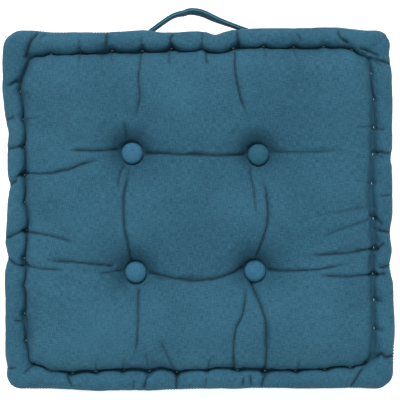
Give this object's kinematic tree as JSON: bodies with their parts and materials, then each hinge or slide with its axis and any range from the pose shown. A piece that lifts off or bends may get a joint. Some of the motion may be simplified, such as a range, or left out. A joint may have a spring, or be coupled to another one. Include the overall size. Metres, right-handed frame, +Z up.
{
  "type": "floor cushion",
  "caption": "Square tufted box floor cushion with rolled edges, covered buttons on both faces and a sewn strap handle at the back.",
  "frame": {"origin": "centre of the face that rests on the floor", "axes": "+Z up through the thickness, +Y towards the side with the handle, +X to the right with the handle at the back"},
  "size_m": [0.4, 0.3919, 0.09],
  "materials": {
    "cover_fabric": "petrol blue plain-weave cotton, matt",
    "button_fabric": "petrol blue plain-weave cotton, stretched over a button",
    "handle_fabric": "petrol blue plain-weave cotton, folded and top-stitched",
    "fibre_filling": "loose off-white fibre",
    "roll_thread": "thick pale cotton thread",
    "seam_thread": "petrol sewing thread",
    "twine": "natural waxed twine",
    "button_metal": "pressed sheet, satin"
  },
  "bodies": {
    "root_cushion": {"filling_core": "fibre_filling", "filling_top_roll": "fibre_filling", "filling_bottom_roll": "fibre_filling", "top_panel": "cover_fabric", "bottom_panel": "cover_fabric", "side_band": "cover_fabric", "top_seam_thread": "seam_thread", "bottom_seam_thread": "seam_thread", "top_roll_stitches": "roll_thread", "bottom_roll_stitches": "roll_thread", "handle_end_left": "handle_fabric", "handle_end_right": "handle_fabric", "handle_stitches": "seam_thread", "tuft_twine_back_left": "twine", "tuft_twine_back_right": "twine", "tuft_twine_front_left": "twine", "tuft_twine_front_right": "twine"},
    "handle": {"handle_loop": "handle_fabric"},
    "top_button_back_left": {"top_button_back_left_cover": "button_fabric", "top_button_back_left_shell": "button_metal", "top_button_back_left_back": "button_metal", "top_button_back_left_eye": "button_metal"},
    "bottom_button_back_left": {"bottom_button_back_left_cover": "button_fabric", "bottom_button_back_left_shell": "button_metal", "bottom_button_back_left_back": "button_metal", "bottom_button_back_left_eye": "button_metal"},
    "top_button_back_right": {"top_button_back_right_cover": "button_fabric", "top_button_back_right_shell": "button_metal", "top_button_back_right_back": "button_metal", "top_button_back_right_eye": "button_metal"},
    "bottom_button_back_right": {"bottom_button_back_right_cover": "button_fabric", "bottom_button_back_right_shell": "button_metal", "bottom_button_back_right_back": "button_metal", "bottom_button_back_right_eye": "button_metal"},
    "top_button_front_left": {"top_button_front_left_cover": "button_fabric", "top_button_front_left_shell": "button_metal", "top_button_front_left_back": "button_metal", "top_button_front_left_eye": "button_metal"},
    "bottom_button_front_left": {"bottom_button_front_left_cover": "button_fabric", "bottom_button_front_left_shell": "button_metal", "bottom_button_front_left_back": "button_metal", "bottom_button_front_left_eye": "button_metal"},
    "top_button_front_right": {"top_button_front_right_cover": "button_fabric", "top_button_front_right_shell": "button_metal", "top_button_front_right_back": "button_metal", "top_button_front_right_eye": "button_metal"},
    "bottom_button_front_right": {"bottom_button_front_right_cover": "button_fabric", "bottom_button_front_right_shell": "button_metal", "bottom_button_front_right_back": "button_metal", "bottom_button_front_right_eye": "button_metal"}
  },
  "joints": [
    {"name": "handle_swing", "type": "hinge", "parent": "root_cushion", "child": "handle", "pos_m": [0, 0.185, 0.04], "axis": [1, 0, 0], "range_deg": [-40, 40]},
    {"name": "top_button_back_left_swivel", "type": "hinge", "parent": "root_cushion", "child": "top_button_back_left", "pos_m": [-0.0687, 0.0584, 0.0623], "axis": [0, 0, 1], "range_deg": [-30, 30]},
    {"name": "bottom_button_back_left_swivel", "type": "hinge", "parent": "root_cushion", "child": "bottom_button_back_left", "pos_m": [-0.0687, 0.0584, 0.0117], "axis": [0, 0, 1], "range_deg": [-30, 30]},
    {"name": "top_button_back_right_swivel", "type": "hinge", "parent": "root_cushion", "child": "top_button_back_right", "pos_m": [0.062, 0.057, 0.0623], "axis": [0, 0, 1], "range_deg": [-30, 30]},
    {"name": "bottom_button_back_right_swivel", "type": "hinge", "parent": "root_cushion", "child": "bottom_button_back_right", "pos_m": [0.062, 0.057, 0.0117], "axis": [0, 0, 1], "range_deg": [-30, 30]},
    {"name": "top_button_front_left_swivel", "type": "hinge", "parent": "root_cushion", "child": "top_button_front_left", "pos_m": [-0.065, -0.0646, 0.0623], "axis": [0, 0, 1], "range_deg": [-30, 30]},
    {"name": "bottom_button_front_left_swivel", "type": "hinge", "parent": "root_cushion", "child": "bottom_button_front_left", "pos_m": [-0.065, -0.0646, 0.0117], "axis": [0, 0, 1], "range_deg": [-30, 30]},
    {"name": "top_button_front_right_swivel", "type": "hinge", "parent": "root_cushion", "child": "top_button_front_right", "pos_m": [0.0584, -0.0634, 0.0623], "axis": [0, 0, 1], "range_deg": [-30, 30]},
    {"name": "bottom_button_front_right_swivel", "type": "hinge", "parent": "root_cushion", "child": "bottom_button_front_right", "pos_m": [0.0584, -0.0634, 0.0117], "axis": [0, 0, 1], "range_deg": [-30, 30]}
  ]
}
